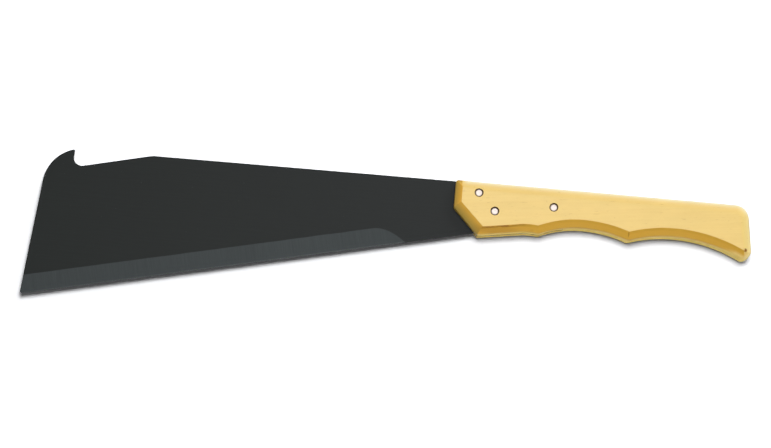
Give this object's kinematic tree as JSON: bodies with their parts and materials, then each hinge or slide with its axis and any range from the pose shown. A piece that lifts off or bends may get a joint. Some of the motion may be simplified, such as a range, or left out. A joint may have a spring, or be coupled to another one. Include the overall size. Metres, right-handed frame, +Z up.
{
  "type": "machete",
  "caption": "Cane machete with a broad hooked blade and a riveted wooden handle with finger hollows, lying flat.",
  "frame": {"origin": "on the handle's underside, at half the handle's length and halfway down the depth of its grip", "axes": "+X along the handle, from the front of its back towards the butt, so the blade points to -X; +Y towards the back and the spine; +Z up, square to the blade's side"},
  "size_m": [0.5444, 0.1165, 0.024],
  "materials": {
    "dark_steel": "satin dark lacquer",
    "hardwood": "smooth, clear satin varnish",
    "rivet_metal": "plain, lightly brushed"
  },
  "bodies": {
    "root": {"blade": "dark_steel", "handle": "hardwood", "rivet_front_top": "rivet_metal", "rivet_front_low": "rivet_metal", "rivet_rear": "rivet_metal"}
  },
  "joints": []
}
